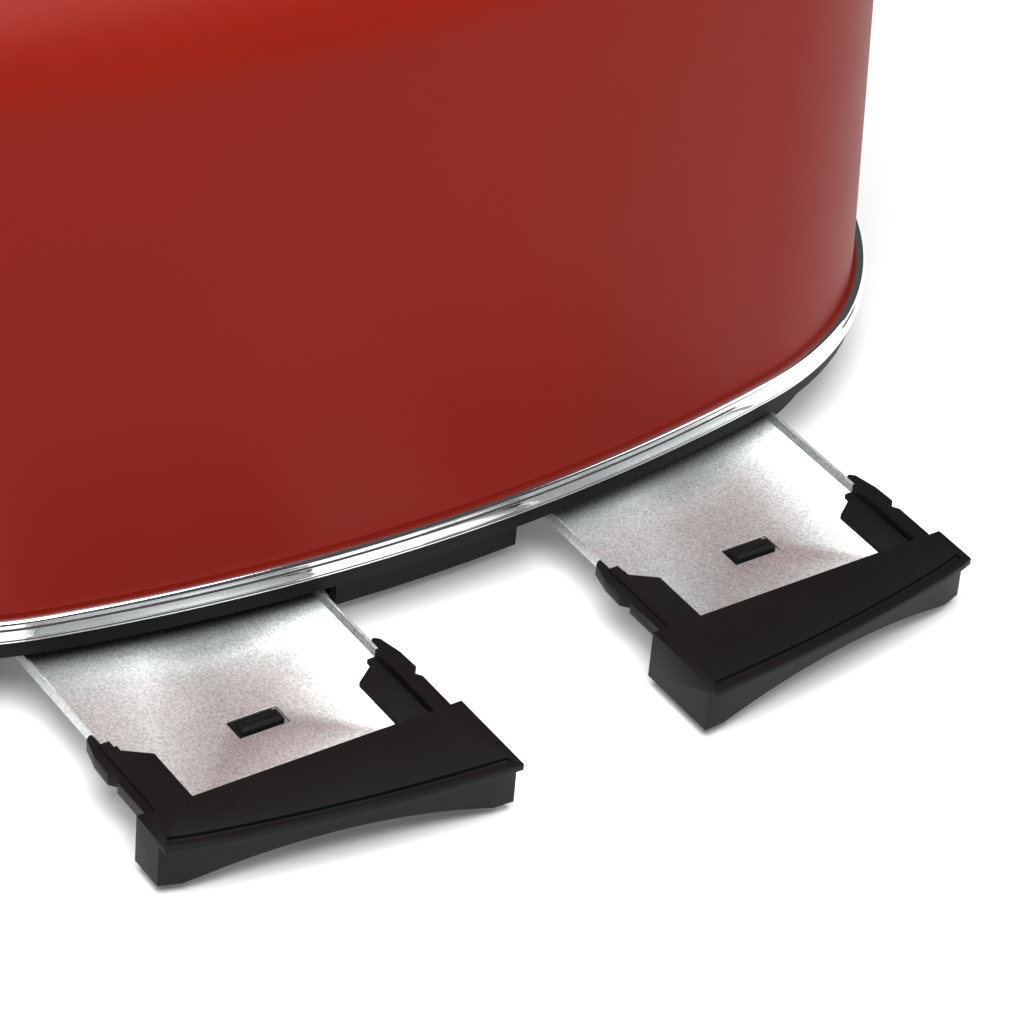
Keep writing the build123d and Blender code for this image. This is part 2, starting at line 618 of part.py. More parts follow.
def slot_surround():
    half_width, half_length = surround_opening()
    flange_x = (PAIR_X - half_width - SURROUND_BORDER, PAIR_X + half_width + SURROUND_BORDER)
    flange_y = (-half_length - SURROUND_BORDER, half_length + SURROUND_BORDER)
    plate = block(flange_x, flange_y, (HEIGHT, HEIGHT + SURROUND_THICKNESS))
    plate = fillet(plate.edges().filter_by(Axis.Z), SURROUND_BORDER)
    plate = fillet(plate.faces().sort_by(Axis.Z)[-1].edges(), SURROUND_EDGE)
    collar_x = (PAIR_X - half_width, PAIR_X + half_width)
    collar = block(collar_x, (-half_length, half_length), (HEIGHT - COLLAR_DEPTH, HEIGHT))
    surround = plate + collar
    for x in slot_xs():
        slot = block(
            (x - SLOT_WIDTH / 2, x + SLOT_WIDTH / 2),
            (-SLOT_LENGTH / 2, SLOT_LENGTH / 2),
            (HEIGHT - COLLAR_DEPTH, HEIGHT + SURROUND_THICKNESS),
        )
        surround -= fillet(slot.edges().filter_by(Axis.Z), SLOT_CORNER)
    return surround


def rack_slit(x):
    half = RACK_BAR_WIDTH / 2 + SLIT_GAP
    low = RACK_TOP - RACK_BAR_HEIGHT - CARRIAGE_TRAVEL - 2 * SLIT_GAP
    return block((x - half, x + half), (-FAR, FAR), (low, RACK_TOP + 2 * SLIT_GAP))


def chamber_plate(y):
    x = (PAIR_X - CHAMBER_HALF_WIDTH, PAIR_X + CHAMBER_HALF_WIDTH)
    plate = block(x, (y, y + PLATE), (DECK_TOP, CHAMBER_TOP))
    for slot in slot_xs():
        plate -= rack_slit(slot)
    return plate


def chamber_front_plate():
    """The front plate with a folded tab at its top, which holds the guide rod and hangs the lift spring."""
    rod_x, rod_y = rod_place()
    tab = block(
        (rod_x - SLEEVE_RADIUS, PAIR_X + CARRIAGE_HALF_WIDTH),
        (rod_y - SLEEVE_RADIUS, -CHAMBER_HALF_LENGTH),
        (CHAMBER_TOP, CHAMBER_TOP + PLATE),
    )
    return chamber_plate(-CHAMBER_HALF_LENGTH - PLATE) + tab


def heat_shield(side):
    x = PAIR_X + side * (CHAMBER_HALF_WIDTH - PLATE / 2)
    y = (-CHAMBER_HALF_LENGTH, CHAMBER_HALF_LENGTH)
    shield = block((x - PLATE / 2, x + PLATE / 2), y, (DECK_TOP, CHAMBER_TOP))
    spacing = (CHAMBER_TOP - DECK_TOP) / (LOUVRE_ROWS + 1)
    for row in range(LOUVRE_ROWS):
        shield -= Pos(x, 0, DECK_TOP + spacing * (row + 1)) * Box(4 * PLATE, LOUVRE_LENGTH, LOUVRE_HEIGHT)
    return shield


def board_xs():
    return PAIR_X - SLOT_PITCH, PAIR_X, PAIR_X + SLOT_PITCH


def heater_boards():
    boards = []
    for x in board_xs():
        y = (-CHAMBER_HALF_LENGTH, CHAMBER_HALF_LENGTH)
        board = block((x - BOARD_THICKNESS / 2, x + BOARD_THICKNESS / 2), y, (BOARD_LOW, BOARD_HIGH))
        boards.append(board)
    return boards


def heating_ribbon():
    """Flat ribbon wound round each board, its turns joined by short risers."""
    ribbons = []
    inner = BOARD_THICKNESS / 2
    outer = inner + RIBBON_THICKNESS
    pitch = (BOARD_HIGH - BOARD_LOW) / (RIBBON_TURNS + 1)
    for x in board_xs():
        ribbon = None
        for turn in range(RIBBON_TURNS):
            z = BOARD_LOW + pitch * (turn + 1)
            for face in (-1, 1):
                span = sorted((x + face * inner, x + face * outer))
                y_half = BOARD_HALF_LENGTH
                band = block(span, (-y_half, y_half), (z - RIBBON_HEIGHT / 2, z + RIBBON_HEIGHT / 2))
                ribbon = band if ribbon is None else ribbon + band
                if turn:
                    end = y_half if turn % 2 else -y_half
                    riser_y = sorted((end, end - RIBBON_HEIGHT * (1 if end > 0 else -1)))
                    ribbon += block(span, riser_y, (z - pitch, z))
        through_z = (BOARD_LOW, BOARD_LOW + pitch)
        through = block((x - outer, x + outer), (-RIBBON_HEIGHT, RIBBON_HEIGHT), through_z)
        ribbons.append(ribbon + (through - block((x - inner, x + inner), (-FAR, FAR), (0, FAR))))
    return ribbons


def bread_guards(slot):
    """The two wire grids of one slot: upright wires joined by a bar at the top and one at the bottom."""
    guards = []
    for side in (-1, 1):
        x = slot + side * (GUARD_GAP + GUARD_WIRE) / 2
        grid = None
        for z in (GUARD_LOW, GUARD_HIGH):
            bar = Pos(x, 0, z) * Rot(90, 0, 0) * Cylinder(GUARD_WIRE / 2, 2 * CHAMBER_HALF_LENGTH)
            grid = bar if grid is None else grid + bar
        spacing = 2 * BOARD_HALF_LENGTH / (GUARD_WIRES - 1)
        for number in range(GUARD_WIRES):
            y = -BOARD_HALF_LENGTH + spacing * number
            grid += rod(GUARD_CROSS_WIRE / 2, x, y, GUARD_LOW, GUARD_HIGH)
        guards.append(grid)
    return guards


# --- carriages ---
def carriage_back():
    """Y of the carriage plate's face nearest to the chamber."""
    return -CHAMBER_HALF_LENGTH - PLATE - CARRIAGE_GAP


def bread_rack(slot):
    y = (carriage_back(), CHAMBER_HALF_LENGTH + PLATE + CARRIAGE_GAP)
    half = RACK_BAR_WIDTH / 2
    rack = block((slot - half, slot + half), y, (RACK_TOP - RACK_BAR_HEIGHT, RACK_TOP))
    spacing = 2 * BOARD_HALF_LENGTH / (RACK_RIBS + 1)
    for number in range(RACK_RIBS):
        middle = -BOARD_HALF_LENGTH + spacing * (number + 1)
        rack += block(
            (slot - RACK_RIB_HALF_WIDTH, slot + RACK_RIB_HALF_WIDTH),
            (middle - RACK_RIB_WIDTH / 2, middle + RACK_RIB_WIDTH / 2),
            (RACK_TOP - RACK_BAR_HEIGHT / 2, RACK_TOP),
        )
    return rack


def rod_place():
    return PAIR_X - ROD_OFFSET, carriage_back() - CARRIAGE_PLATE - SLEEVE_RADIUS


def carriage():
    back = carriage_back()
    x = (PAIR_X - CARRIAGE_HALF_WIDTH, PAIR_X + CARRIAGE_HALF_WIDTH)
    plate = block(x, (back - CARRIAGE_PLATE, back), (CARRIAGE_LOW, CARRIAGE_HIGH))
    rod_x, rod_y = rod_place()
    plate += rod(SLEEVE_RADIUS, rod_x, rod_y, CARRIAGE_LOW, CARRIAGE_HIGH)
    sleeve_x = (rod_x - SLEEVE_RADIUS, rod_x + SLEEVE_RADIUS)
    plate += block(sleeve_x, (rod_y, back - CARRIAGE_PLATE), (CARRIAGE_LOW, CARRIAGE_HIGH))
    plate -= rod(ROD_RADIUS + ROD_CLEARANCE, rod_x, rod_y, 0, FAR)
    half = ARM_WIDTH / 2
    riser_y = (back - CARRIAGE_PLATE - RISER_DEPTH, back - CARRIAGE_PLATE)
    riser = block((PAIR_X - half, PAIR_X + half), riser_y, (CARRIAGE_LOW, ARM_TOP))
    arm = block(
        (PAIR_X - half, PAIR_X + half),
        (-knob_back() - KNOB_GRIP, back - CARRIAGE_PLATE),
        (ARM_TOP - ARM_HEIGHT, ARM_TOP),
    )
    latch = block(
        (PAIR_X + ROD_OFFSET - MAGNET_HALF, PAIR_X + ROD_OFFSET + MAGNET_HALF),
        (magnet_y()[0], back),
        (CARRIAGE_LOW - CARRIAGE_PLATE, CARRIAGE_LOW),
    )
    return plate + riser + arm + latch


def knob_back():
    """Distance from the middle to the knob's inner face, clear of the shell and bezel over its travel."""
    lowest = ARM_TOP - ARM_HEIGHT / 2 - KNOB_HEIGHT / 2 - CARRIAGE_TRAVEL
    return side_reach(PAIR_X - KNOB_WIDTH / 2, wall_inset(lowest)) + KNOB_GAP


def knob_front():
    return knob_back() + KNOB_DEPTH


def lever_knob():
    z = ARM_TOP - ARM_HEIGHT / 2
    half = KNOB_WIDTH / 2
    y = (-knob_front(), -knob_back())
    knob = block((PAIR_X - half, PAIR_X + half), y, (z - KNOB_HEIGHT / 2, z + KNOB_HEIGHT / 2))
    knob = fillet(knob.edges().filter_by(Axis.Y), KNOB_CORNER)
    knob = fillet(knob.faces().sort_by(Axis.Y)[0].edges(), KNOB_EDGE)
    pocket = block(
        (PAIR_X - ARM_WIDTH / 2, PAIR_X + ARM_WIDTH / 2),
        (-knob_back() - KNOB_GRIP, 0),
        (ARM_TOP - ARM_HEIGHT, ARM_TOP),
    )
    return knob - pocket


def lever_slot_heights():
    return ARM_TOP - ARM_HEIGHT - CARRIAGE_TRAVEL - LEVER_SLOT_GAP, ARM_TOP + LEVER_SLOT_GAP


def lever_slot_bezel(body):
    """Oval trim round the lever's slot, lying against the shell."""
    low, high = lever_slot_heights()
    middle = (low + high) / 2
    inset = wall_inset(middle)
    (side, _), _, _ = arc_centres()
    turn = asin(PAIR_X / (side - inset))
    lean = radians(LEAN)
    out = (sin(turn) * cos(lean), -cos(turn) * cos(lean), sin(lean))
    origin = (PAIR_X, -side_reach(PAIR_X, inset), middle)
    plane = Plane(origin=origin, x_dir=(cos(turn), sin(turn), 0), z_dir=out)
    width = ARM_WIDTH + 2 * LEVER_SLOT_GAP
    height = high - low
    outer_size = (width + 2 * BEZEL_MARGIN, height + 2 * BEZEL_MARGIN)
    blank = Pos(0, 0, -BEZEL_SUNK) * RectangleRounded(*outer_size, outer_size[0] / 2 - SIDE_GAP / 10)
    outer = extrude(blank, amount=BEZEL_THICKNESS + BEZEL_SUNK)
    outer = chamfer(outer.faces().sort_by(Axis.Z)[-1].edges(), BEZEL_EDGE)
    opening = Pos(0, 0, -2 * BEZEL_SUNK) * RectangleRounded(width, height, LEVER_SLOT_GAP)
    return plane * (outer - extrude(opening, amount=BEZEL_THICKNESS + 4 * BEZEL_SUNK)) - body


def guide_rod():
    x, y = rod_place()
    return rod(ROD_RADIUS, x, y, DECK_TOP, CHAMBER_TOP)


def spring_place():
    return PAIR_X + ROD_OFFSET, carriage_back() - CARRIAGE_PLATE - SLEEVE_RADIUS


def lift_spring():
    """Extension spring from the carriage to the bracket, as the tube that its coils fill."""
    x, y = spring_place()
    outer = rod(SPRING_RADIUS, x, y, CARRIAGE_LOW, CHAMBER_TOP)
    return outer - rod(SPRING_RADIUS - SPRING_WIRE, x, y, CARRIAGE_LOW, CHAMBER_TOP)


def magnet_y():
    back = carriage_back() - CARRIAGE_PLATE
    return back - 2 * MAGNET_HALF, back


def electromagnet():
    x = PAIR_X + ROD_OFFSET
    y_low, y_high = magnet_y()
    top = CARRIAGE_LOW - CARRIAGE_PLATE - CARRIAGE_TRAVEL - SIDE_GAP
    middle = (y_low + y_high) / 2
    half = MAGNET_CORE / 2
    foot = block((x - MAGNET_HALF, x + MAGNET_HALF), (y_low, y_high), (DECK_TOP, DECK_TOP + MAGNET_BASE))
    core = block((x - half, x + half), (middle - half, middle + half), (DECK_TOP, top))
    coil = rod(MAGNET_HALF - COIL_INSIDE_BASE, x, middle, DECK_TOP + MAGNET_BASE, top - COIL_BELOW_CORE)
    return foot + core + coil


# --- controls, drawn in the panel's plane: X across, Y up the panel, Z out towards the user ---
def panel_plane():
    lean = radians(LEAN)
    origin = (0, -side_reach(0, wall_inset(WALL_MIDDLE)), WALL_MIDDLE)
    return Plane(origin=origin, x_dir=(1, 0, 0), z_dir=(0, -cos(lean), sin(lean)))


def button_xs():
    return [DIAL_X + BUTTON_PITCH * step for step in (-1, 0, 1)]


def control_panel(body):
    blank = Pos(0, 0, -PANEL_SUNK) * RectangleRounded(PANEL_WIDTH, PANEL_HEIGHT, PANEL_CORNER)
    plate = extrude(blank, amount=PANEL_SUNK + PANEL_THICKNESS)
    plate = fillet(plate.faces().sort_by(Axis.Z)[-1].edges(), PANEL_EDGE)
    for side in (-1, 1):
        plate -= Pos(side * DIAL_X, DIAL_Y, 0) * Cylinder(SHAFT_RADIUS + DIAL_GAP, 4 * PANEL_SUNK)
        for x in button_xs():
            plate -= Pos(side * x, BUTTON_Y, 0) * Cylinder(BUTTON_RADIUS + BUTTON_GAP, 4 * PANEL_SUNK)
    return panel_plane() * plate - body


def browning_dial():
    face = PANEL_THICKNESS + DIAL_GAP
    grip_radius = DIAL_RADIUS - DIAL_STEP
    skirt = Pos(DIAL_X, DIAL_Y, face + DIAL_SKIRT / 2) * Cylinder(DIAL_RADIUS, DIAL_SKIRT)
    skirt = fillet(skirt.edges().sort_by(Axis.Z)[-1], DIAL_SKIRT_EDGE)
    grip = Pos(DIAL_X, DIAL_Y, face + DIAL_HEIGHT / 2) * Cylinder(grip_radius, DIAL_HEIGHT)
    grip = fillet(grip.edges().sort_by(Axis.Z)[-1], DIAL_GRIP_EDGE)
    pointer = Pos(DIAL_X, DIAL_Y + grip_radius, face + DIAL_SKIRT) * Box(*POINTER)
    shaft_low = POT_TOP + SIDE_GAP
    shaft = Pos(DIAL_X, DIAL_Y, (shaft_low + face) / 2) * Cylinder(SHAFT_RADIUS, face - shaft_low)
    return panel_plane() * (skirt + grip + pointer + shaft)


def push_button(x):
    top = PANEL_THICKNESS + BUTTON_PROUD
    cap = Pos(x, BUTTON_Y, (top + BUTTON_LOW) / 2) * Cylinder(BUTTON_RADIUS, top - BUTTON_LOW)
    cap = fillet(cap.edges().sort_by(Axis.Z)[-1], BUTTON_EDGE)
    collar_z = BUTTON_LOW - BUTTON_COLLAR_HEIGHT / 2
    collar = Pos(x, BUTTON_Y, collar_z) * Cylinder(BUTTON_RADIUS + BUTTON_COLLAR, BUTTON_COLLAR_HEIGHT)
    stem_low = BOARD_FACE + SWITCH[2] + BUTTON_TRAVEL + SWITCH_GAP
    stem_z = (BUTTON_LOW + stem_low) / 2
    stem = Pos(x, BUTTON_Y, stem_z) * Cylinder(BUTTON_STEM_RADIUS, BUTTON_LOW - stem_low)
    return panel_plane() * (cap + collar + stem)


def control_board():
    height = PANEL_HEIGHT - 2 * BOARD_INSIDE_PANEL
    parts = Pos(DIAL_X, 0, BOARD_FACE - CIRCUIT_BOARD / 2) * Box(BOARD_WIDTH, height, CIRCUIT_BOARD)
    parts += Pos(DIAL_X, DIAL_Y, (BOARD_FACE + POT_TOP) / 2) * Box(POT_SIZE, POT_SIZE, POT_TOP - BOARD_FACE)
    bush_z = (POT_TOP + POT_BUSH_TOP) / 2
    bush = Pos(DIAL_X, DIAL_Y, bush_z) * Cylinder(POT_BUSH_RADIUS, POT_BUSH_TOP - POT_TOP)
    parts += bush - Pos(DIAL_X, DIAL_Y, 0) * Cylinder(SHAFT_RADIUS + ROD_CLEARANCE, 2 * -POT_TOP)
    for x in button_xs():
        parts += Pos(x, BUTTON_Y, BOARD_FACE + SWITCH[2] / 2) * Box(*SWITCH)
    behind = BOARD_FACE - CIRCUIT_BOARD
    across, up = RELAY_PLACE
    parts += Pos(DIAL_X + across, up, behind - RELAY[2] / 2) * Box(*RELAY)
    across, up = CAPACITOR_PLACE
    capacitor_z = behind - CAPACITOR_HEIGHT / 2
    parts += Pos(DIAL_X + across, up, capacitor_z) * Cylinder(CAPACITOR_RADIUS, CAPACITOR_HEIGHT)
    return panel_plane() * parts


# --- mains ---
def terminal_block():
    length, width, height = TERMINAL_SIZE
    x = SKIRT_END - TERMINAL_FROM_SKIRT
    base = Pos(x, 0, DECK_TOP + height / 2) * Box(length, width, height)
    for number in (-1, 0, 1):
        base -= rod(TERMINAL_HOLE_RADIUS, x, TERMINAL_PITCH * number, DECK_TOP + TERMINAL_FLOOR, FAR)
    return fillet(base.edges().filter_by(Axis.Z), TERMINAL_CORNER)


def gland_length():
    return GLAND_FLANGE + GLAND_BARREL


def along_x(radius, x_low, x_high):
    return Pos((x_low + x_high) / 2, 0, GLAND_Z) * Rot(0, 90, 0) * Cylinder(radius, x_high - x_low)


def cable_gland():
    """Flanged bush in the skirt's end, where the mains lead comes out."""
    flange = along_x(GLAND_RADIUS, SKIRT_END, SKIRT_END + GLAND_FLANGE)
    barrel = along_x(GLAND_RADIUS - GLAND_STEP, SKIRT_END - GLAND_BARREL, SKIRT_END)
    return flange + barrel - along_x(GLAND_BORE, SKIRT_END - FAR, SKIRT_END + FAR)


# --- writing the parts ---
def centre_shift():
    """Move from the middle of the oval to the middle of the whole object with its trays drawn out."""
    inner_corner = PAIR_X - HANDLE_WIDTH / 2
    tray_front = side_reach(inner_corner, SKIRT_INSET) + TRAY_OUT
    return (knob_front() - tray_front) / 2


def write(name, shape):
    pieces = shape if isinstance(shape, list) else [shape]
    solids = []
    for piece in pieces:
        solids.extend(piece.solids())
    moved = [solid.moved(Location((0, centre_shift(), 0))) for solid in solids]
    export_step(moved[0] if len(moved) == 1 else Compound(children=moved), f"parts/{name}.step")


def write_pair(name, shape):
    """Write the right-hand piece and its mirror image."""
    pieces = shape if isinstance(shape, list) else [shape]
    write(f"{name}_right", pieces)
    write(f"{name}_left", [mirror(piece, about=Plane.YZ) for piece in pieces])


def main():
    os.makedirs("parts", exist_ok=True)
    body = body_solid(0, HEIGHT, SHOULDER_RADIUS)
    write("outer_shell", outer_shell(body))
    write("chrome_base_ring", chrome_base_ring(body))
    write("base_moulding", base_moulding())
    write("base_plate", base_plate())
    write("rubber_feet", rubber_feet())
    write("base_screws", base_screws())
    write("control_panel", control_panel(body))
    write("terminal_block", terminal_block())
    write("cable_gland", cable_gland())
    drawn_out = Location((0, TRAY_OUT, 0))
    write_pair("crumb_tray_sheet", tray_sheet().moved(drawn_out))
    write_pair("crumb_tray_handle", tray_handle().moved(drawn_out))
    write_pair("tray_guides", tray_guides())
    write_pair("slot_surround", slot_surround())
    write_pair("chamber_front_plate", chamber_front_plate())
    write_pair("chamber_rear_plate", chamber_plate(CHAMBER_HALF_LENGTH))
    write_pair("heater_boards", heater_boards())
    write_pair("heating_ribbon", heating_ribbon())
    for place, side, slot in (("inner", -1, slot_xs()[0]), ("outer", 1, slot_xs()[1])):
        write_pair(f"heat_shield_{place}", heat_shield(side))
        write_pair(f"bread_guards_{place}", bread_guards(slot))
        write_pair(f"bread_rack_{place}", bread_rack(slot))
    write_pair("carriage", carriage())
    write_pair("lever_knob", lever_knob())
    write_pair("lever_slot_bezel", lever_slot_bezel(body))
    write_pair("guide_rod", guide_rod())
    write_pair("lift_spring", lift_spring())
    write_pair("electromagnet", electromagnet())
    write_pair("browning_dial", browning_dial())
    write_pair("control_board", control_board())
    for name, x in zip(("cancel", "reheat", "defrost"), button_xs()):
        write_pair(f"{name}_button", push_button(x))


main()
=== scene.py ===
import json
from math import cos, degrees, radians, sin, tan

import bmesh
import bpy
from mathutils import Matrix, Vector


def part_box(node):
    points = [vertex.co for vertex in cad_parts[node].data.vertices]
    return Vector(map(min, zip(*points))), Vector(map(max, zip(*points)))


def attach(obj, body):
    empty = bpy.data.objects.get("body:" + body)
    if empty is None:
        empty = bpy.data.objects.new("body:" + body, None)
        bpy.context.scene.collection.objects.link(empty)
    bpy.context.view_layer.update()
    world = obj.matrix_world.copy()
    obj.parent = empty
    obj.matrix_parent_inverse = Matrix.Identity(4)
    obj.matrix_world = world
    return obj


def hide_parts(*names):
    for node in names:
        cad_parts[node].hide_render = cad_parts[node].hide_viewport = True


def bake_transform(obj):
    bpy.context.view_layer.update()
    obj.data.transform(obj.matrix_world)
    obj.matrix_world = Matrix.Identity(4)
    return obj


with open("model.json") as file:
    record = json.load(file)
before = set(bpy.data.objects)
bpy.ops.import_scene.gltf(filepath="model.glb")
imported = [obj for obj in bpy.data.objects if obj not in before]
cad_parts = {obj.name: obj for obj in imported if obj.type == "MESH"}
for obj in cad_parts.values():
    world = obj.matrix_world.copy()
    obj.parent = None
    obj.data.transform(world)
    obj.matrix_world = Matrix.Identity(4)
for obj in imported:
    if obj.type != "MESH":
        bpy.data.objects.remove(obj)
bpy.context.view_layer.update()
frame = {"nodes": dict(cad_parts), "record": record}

MM = 0.001
SIDES = {"left": -1, "right": 1}

# --- outline of the toaster, in metres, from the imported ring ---
ring_low, ring_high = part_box("chrome_base_ring")
MIDDLE_Y = (ring_low.y + ring_high.y) / 2
HALF_LENGTH = (ring_high.x - ring_low.x) / 2
HALF_DEPTH = (ring_high.y - ring_low.y) / 2
CORNER_RADIUS = 96 * MM
SIDE_TURN = 12.25
CORNER_END = 76.0
RING_FOOT = ring_low.z
RING_TOP = RING_FOOT + 6 * MM
RING_WIDTH = 3.8 * MM
LEAN = radians(3.0)
SHELL_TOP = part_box("outer_shell")[1].z
SHOULDER_RADIUS = 36 * MM
SHELL_WALL = 0.8 * MM


def heading(turned):
    return Vector((sin(radians(turned)), cos(radians(turned))))


def outline_arcs():
    """Radius and centre of the long side's, the corner's and the end's arc, in the quadrant of +X and +Y."""
    s1, c1 = heading(SIDE_TURN)
    s2, c2 = heading(CORNER_END)
    depth = HALF_DEPTH - CORNER_RADIUS * (c1 - c2)
    length = HALF_LENGTH - CORNER_RADIUS * (s2 - s1)
    determinant = (1 - c1) * (1 - s2) - c2 * s1
    side = (depth * (1 - s2) - c2 * length) / determinant
    end = ((1 - c1) * length - s1 * depth) / determinant
    corner_centre = Vector((0, HALF_DEPTH - side)) + (side - CORNER_RADIUS) * heading(SIDE_TURN)
    side_centre = Vector((0, HALF_DEPTH - side))
    end_centre = Vector((HALF_LENGTH - end, 0))
    return (side, side_centre), (CORNER_RADIUS, corner_centre), (end, end_centre)


def outline_point(turned):
    """Point of the ring's edge where its outward side heads this many degrees from +Y."""
    side, corner, end = outline_arcs()
    folded = abs((turned + 180) % 360 - 180)
    across = min(folded, 180 - folded)
    radius, centre = side if across <= SIDE_TURN else corner if across <= CORNER_END else end
    point = centre + radius * heading(across)
    x = point.x if (turned % 360) <= 180 else -point.x
    y = point.y if folded <= 90 else -point.y
    return Vector((x, y + MIDDLE_Y))


def outline_headings():
    """Headings once round the oval, close together where the arcs are long."""
    quarter = [SIDE_TURN * step / 24 for step in range(24)]
    quarter += [SIDE_TURN + (CORNER_END - SIDE_TURN) * step / 44 for step in range(44)]
    quarter += [CORNER_END + (90 - CORNER_END) * step / 14 for step in range(14)]
    half = quarter + [90] + [180 - turned for turned in reversed(quarter[1:])]
    return half + [180 + turned for turned in half]


# --- building helpers ---
def link(obj):
    bpy.context.scene.collection.objects.link(obj)
    return obj


def mesh_object(name, bm):
    mesh = bpy.data.meshes.new(name)
    bm.to_mesh(mesh)
    bm.free()
    return link(bpy.data.objects.new(name, mesh))


def polyline(name, points, closed=True):
    curve = bpy.data.curves.new(name, "CURVE")
    curve.dimensions = "3D"
    spline = curve.splines.new("POLY")
    spline.points.add(len(points) - 1)
    for point, place in zip(spline.points, points):
        point.co = (*place, 1.0)
    spline.use_cyclic_u = closed
    return link(bpy.data.objects.new(name, curve))


def applied(obj, name=None):
    """A plain mesh object of obj as its modifiers leave it; obj itself goes."""
    graph = bpy.context.evaluated_depsgraph_get()
    mesh = bpy.data.meshes.new_from_object(obj.evaluated_get(graph), depsgraph=graph)
    made = link(bpy.data.objects.new(name or obj.name, mesh))
    bpy.data.objects.remove(obj)
    return made


def shade(obj, angle):
    """Smooth shading, with edges sharper than angle kept sharp."""
    mesh = obj.data
    mesh.shade_smooth()
    mesh.set_sharp_from_angle(angle=radians(angle))
    return obj


class Tree:
    """A geometry node tree, made with the same one method for every node."""

    def __init__(self, name, inputs):
        self.group = bpy.data.node_groups.new(name, "GeometryNodeTree")
        self.group.interface.new_socket("Geometry", in_out="INPUT", socket_type="NodeSocketGeometry")
        for label, kind in inputs.items():
            self.group.interface.new_socket(label, in_out="INPUT", socket_type="NodeSocket" + kind)
        self.group.interface.new_socket("Geometry", in_out="OUTPUT", socket_type="NodeSocketGeometry")
        self.source = self.group.nodes.new("NodeGroupInput")

    def input(self, label):
        return self.source.outputs[label]

    def node(self, kind, settings=None, **sockets):
        made = self.group.nodes.new(kind)
        for key, value in (settings or {}).items():
            setattr(made, key, value)
        for key, value in sockets.items():
            socket = made.inputs[int(key[1:])] if key[0] == "_" else made.inputs[key.replace("_", " ")]
            if isinstance(value, bpy.types.NodeSocket):
                self.group.links.new(value, socket)
            else:
                socket.default_value = value
        return made.outputs[0]

    def finish(self, geometry, material):
        real = self.node("GeometryNodeRealizeInstances", Geometry=geometry)
        dressed = self.node("GeometryNodeSetMaterial", Geometry=real, Material=material)
        self.group.links.new(dressed, self.group.nodes.new("NodeGroupOutput").inputs[0])

    def modify(self, obj, **values):
        """Put the tree on obj with these inputs, and return the plain mesh that comes out."""
        modifier = obj.modifiers.new(self.group.name, "NODES")
        modifier.node_group = self.group
        for item in self.group.interface.items_tree:
            key = item.name.replace(" ", "_")
            if item.in_out == "INPUT" and key in values:
                modifier[item.identifier] = values[key]
        return applied(obj)


# --- materials ---
class Value:
    """A shader socket that takes part in sums."""

    def __init__(self, paint, socket):
        self.paint = paint
        self.socket = socket

    def maths(self, operation, *others):
        sockets = {"_%d" % number: other for number, other in enumerate(others)}
        return self.paint.node("ShaderNodeMath", {"operation": operation}, **sockets)

    def __add__(self, other):
        return self.maths("ADD", self, other)

    def __radd__(self, other):
        return self.maths("ADD", other, self)

    def __sub__(self, other):
        return self.maths("SUBTRACT", self, other)

    def __rsub__(self, other):
        return self.maths("SUBTRACT", other, self)

    def __mul__(self, other):
        return self.maths("MULTIPLY", self, other)

    def __rmul__(self, other):
        return self.maths("MULTIPLY", other, self)

    def above(self, other):
        return self.maths("GREATER_THAN", self, other)


class Paint:
    """One material: a Principled shader and the nodes that feed it."""

    def __init__(self, name, **constants):
        self.material = bpy.data.materials.new(name)
        self.material.use_nodes = True
        self.tree = self.material.node_tree
        self.shader = self.tree.nodes["Principled BSDF"]
        for label, value in constants.items():
            self.shader.inputs[label.replace("_", " ")].default_value = value
        self.place = Value(self, self.tree.nodes.new("ShaderNodeTexCoord").outputs["Object"])

    def node(self, kind, settings=None, output=0, **sockets):
        made = self.tree.nodes.new(kind)
        for key, value in (settings or {}).items():
            if key == "stops":
                self.set_stops(made.color_ramp, value)
            else:
                setattr(made, key, value)
        for key, value in sockets.items():
            socket = made.inputs[int(key[1:])] if key[0] == "_" else made.inputs[key.replace("_", " ")]
            if isinstance(value, Value):
                self.tree.links.new(value.socket, socket)
            else:
                socket.default_value = value
        return Value(self, made.outputs[output])

    def set_stops(self, ramp, stops):
        while len(ramp.elements) < len(stops):
            ramp.elements.new(1.0)
        for element, (position, colour) in zip(ramp.elements, stops):
            element.position = position
            element.color = (*colour, 1.0)

    def stretched(self, x, y, z):
        return self.node("ShaderNodeMapping", Vector=self.place, Scale=(x, y, z))

    def noise(self, scale, detail=3.0, roughness=0.5, vector=None):
        return self.node("ShaderNodeTexNoise", Vector=vector or self.place, Scale=scale, Detail=detail,
                         Roughness=roughness)

    def cells(self, scale, output=0, feature="F1", vector=None):
        place = vector or self.place
        return self.node("ShaderNodeTexVoronoi", {"feature": feature}, output, Vector=place, Scale=scale)

    def ramp(self, value, *stops):
        return self.node("ShaderNodeValToRGB", {"stops": stops}, Fac=value)

    def blend(self, factor, first, second):
        """A colour that goes from first to second as factor goes from 0 to 1."""
        ends = {"_6": colour(first), "_7": colour(second)}
        return self.node("ShaderNodeMix", {"data_type": "RGBA"}, 2, _0=factor, **ends)

    def spread(self, value, low, high):
        """value, from 0 to 1, carried onto the span from low to high."""
        return self.node("ShaderNodeMapRange", Value=value, _3=low, _4=high)

    def bump(self, height, strength, distance, normal=None):
        sockets = {"Height": height, "Strength": strength, "Distance": distance}
        if normal is not None:
            sockets["Normal"] = normal
        return self.node("ShaderNodeBump", **sockets)

    def feed(self, **values):
        for label, value in values.items():
            self.tree.links.new(value.socket, self.shader.inputs[label.replace("_", " ")])
        return self.material


def colour(value):
    return value if isinstance(value, Value) else (*value, 1.0)


